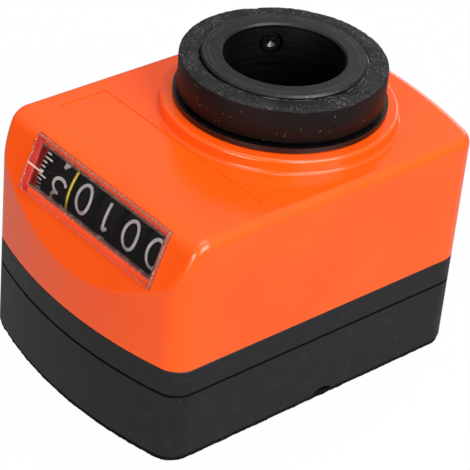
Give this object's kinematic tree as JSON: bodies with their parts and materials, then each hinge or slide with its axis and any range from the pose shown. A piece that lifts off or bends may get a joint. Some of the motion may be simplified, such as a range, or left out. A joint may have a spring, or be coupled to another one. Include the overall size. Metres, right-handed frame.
{
  "type": "hollow-shaft digital position indicator",
  "caption": "Mechanical position indicator: drum counter behind a slanted window, geared to a hollow shaft in a collar on top, on a black base with a torque pin.",
  "frame": {"origin": "on the hollow shaft's axis, in the mounting face at the underside of the foam gasket", "axes": "+Z along the shaft towards the collar, -Y towards the window, +X to the right of the window"},
  "size_m": [0.048, 0.0676, 0.0572],
  "materials": {
    "orange_plastic": "glossy orange moulding",
    "clear_plastic": "clear polycarbonate",
    "black_plastic": "fine matt black moulding",
    "foam": "closed-cell foam, cut edge",
    "rubber": "cut rubber",
    "black_steel": "turned steel, blackened",
    "bright_steel": "bright drawn steel",
    "bronze": "sintered bronze",
    "white_plastic": "acetal",
    "red_plastic": "red moulding",
    "drum_plastic": "black drum with printed figures"
  },
  "bodies": {
    "case": {"housing": "orange_plastic", "window_lens": "clear_plastic", "chassis_frame": "black_plastic", "base_cover": "black_plastic", "foam_gasket": "foam", "torque_pin": "bright_steel", "base_screws": "bright_steel", "upper_bush": "bronze", "lower_bush": "bronze", "cheek_left": "red_plastic", "cheek_right": "red_plastic", "pinion_axle": "bright_steel", "idler_pin": "bright_steel"},
    "shaft": {"hollow_shaft": "black_steel", "seal_ring": "rubber", "shaft_gear": "white_plastic", "retaining_ring": "bright_steel"},
    "set_screw": {"grub_screw": "black_steel"},
    "idler": {"idler_gear": "white_plastic"},
    "arbor": {"drive_arbor": "bright_steel", "arbor_pinion": "bronze", "bevel_pinion": "bronze"},
    "first_drum": {"drum_axle": "bright_steel", "bevel_wheel": "white_plastic", "digit_drum_1": "drum_plastic"},
    "drum_2": {"digit_drum_2": "drum_plastic"},
    "drum_3": {"digit_drum_3": "drum_plastic"},
    "drum_4": {"digit_drum_4": "drum_plastic"},
    "drum_5": {"digit_drum_5": "drum_plastic"},
    "transfer_1": {"transfer_pinion_1": "white_plastic"},
    "transfer_2": {"transfer_pinion_2": "white_plastic"},
    "transfer_3": {"transfer_pinion_3": "white_plastic"},
    "transfer_4": {"transfer_pinion_4": "white_plastic"}
  },
  "joints": [
    {"name": "shaft_spin", "type": "hinge", "parent": "case", "child": "shaft", "pos_m": [0, 0, 0], "axis": [0, 0, 1], "continuous": true},
    {"name": "set_screw_travel", "type": "slide", "parent": "shaft", "child": "set_screw", "axis": [0.866, -0.5, 0], "range_m": [0, 0.0018]},
    {"name": "idler_spin", "type": "hinge", "parent": "case", "child": "idler", "pos_m": [0.00828, -0.02199, 0.0072], "axis": [0, 0, 1], "continuous": true},
    {"name": "arbor_spin", "type": "hinge", "parent": "case", "child": "arbor", "pos_m": [0.0186, -0.0258, 0.0072], "axis": [0, 0, 1], "continuous": true},
    {"name": "drum_1_spin", "type": "hinge", "parent": "case", "child": "first_drum", "pos_m": [0, -0.0258, 0.029], "axis": [1, 0, 0], "continuous": true},
    {"name": "drum_2_spin", "type": "hinge", "parent": "case", "child": "drum_2", "pos_m": [0, -0.0258, 0.029], "axis": [1, 0, 0], "continuous": true},
    {"name": "drum_3_spin", "type": "hinge", "parent": "case", "child": "drum_3", "pos_m": [0, -0.0258, 0.029], "axis": [1, 0, 0], "continuous": true},
    {"name": "drum_4_spin", "type": "hinge", "parent": "case", "child": "drum_4", "pos_m": [0, -0.0258, 0.029], "axis": [1, 0, 0], "continuous": true},
    {"name": "drum_5_spin", "type": "hinge", "parent": "case", "child": "drum_5", "pos_m": [0, -0.0258, 0.029], "axis": [1, 0, 0], "continuous": true},
    {"name": "transfer_1_spin", "type": "hinge", "parent": "case", "child": "transfer_1", "pos_m": [0, -0.01663, 0.02258], "axis": [1, 0, 0], "continuous": true},
    {"name": "transfer_2_spin", "type": "hinge", "parent": "case", "child": "transfer_2", "pos_m": [0, -0.01663, 0.02258], "axis": [1, 0, 0], "continuous": true},
    {"name": "transfer_3_spin", "type": "hinge", "parent": "case", "child": "transfer_3", "pos_m": [0, -0.01663, 0.02258], "axis": [1, 0, 0], "continuous": true},
    {"name": "transfer_4_spin", "type": "hinge", "parent": "case", "child": "transfer_4", "pos_m": [0, -0.01663, 0.02258], "axis": [1, 0, 0], "continuous": true}
  ],
  "couplings": [
    {"joint": "idler_spin", "follows": "shaft_spin", "ratio": -1.7647},
    {"joint": "arbor_spin", "follows": "shaft_spin", "ratio": 6},
    {"joint": "drum_1_spin", "follows": "shaft_spin", "ratio": 2},
    {"joint": "drum_2_spin", "follows": "shaft_spin", "ratio": 0.2},
    {"joint": "drum_3_spin", "follows": "shaft_spin", "ratio": 0.02},
    {"joint": "drum_4_spin", "follows": "shaft_spin", "ratio": 0.002},
    {"joint": "drum_5_spin", "follows": "shaft_spin", "ratio": 0.0002},
    {"joint": "transfer_1_spin", "follows": "shaft_spin", "ratio": -0.5},
    {"joint": "transfer_2_spin", "follows": "shaft_spin", "ratio": -0.05},
    {"joint": "transfer_3_spin", "follows": "shaft_spin", "ratio": -0.005},
    {"joint": "transfer_4_spin", "follows": "shaft_spin", "ratio": -0.0005}
  ]
}
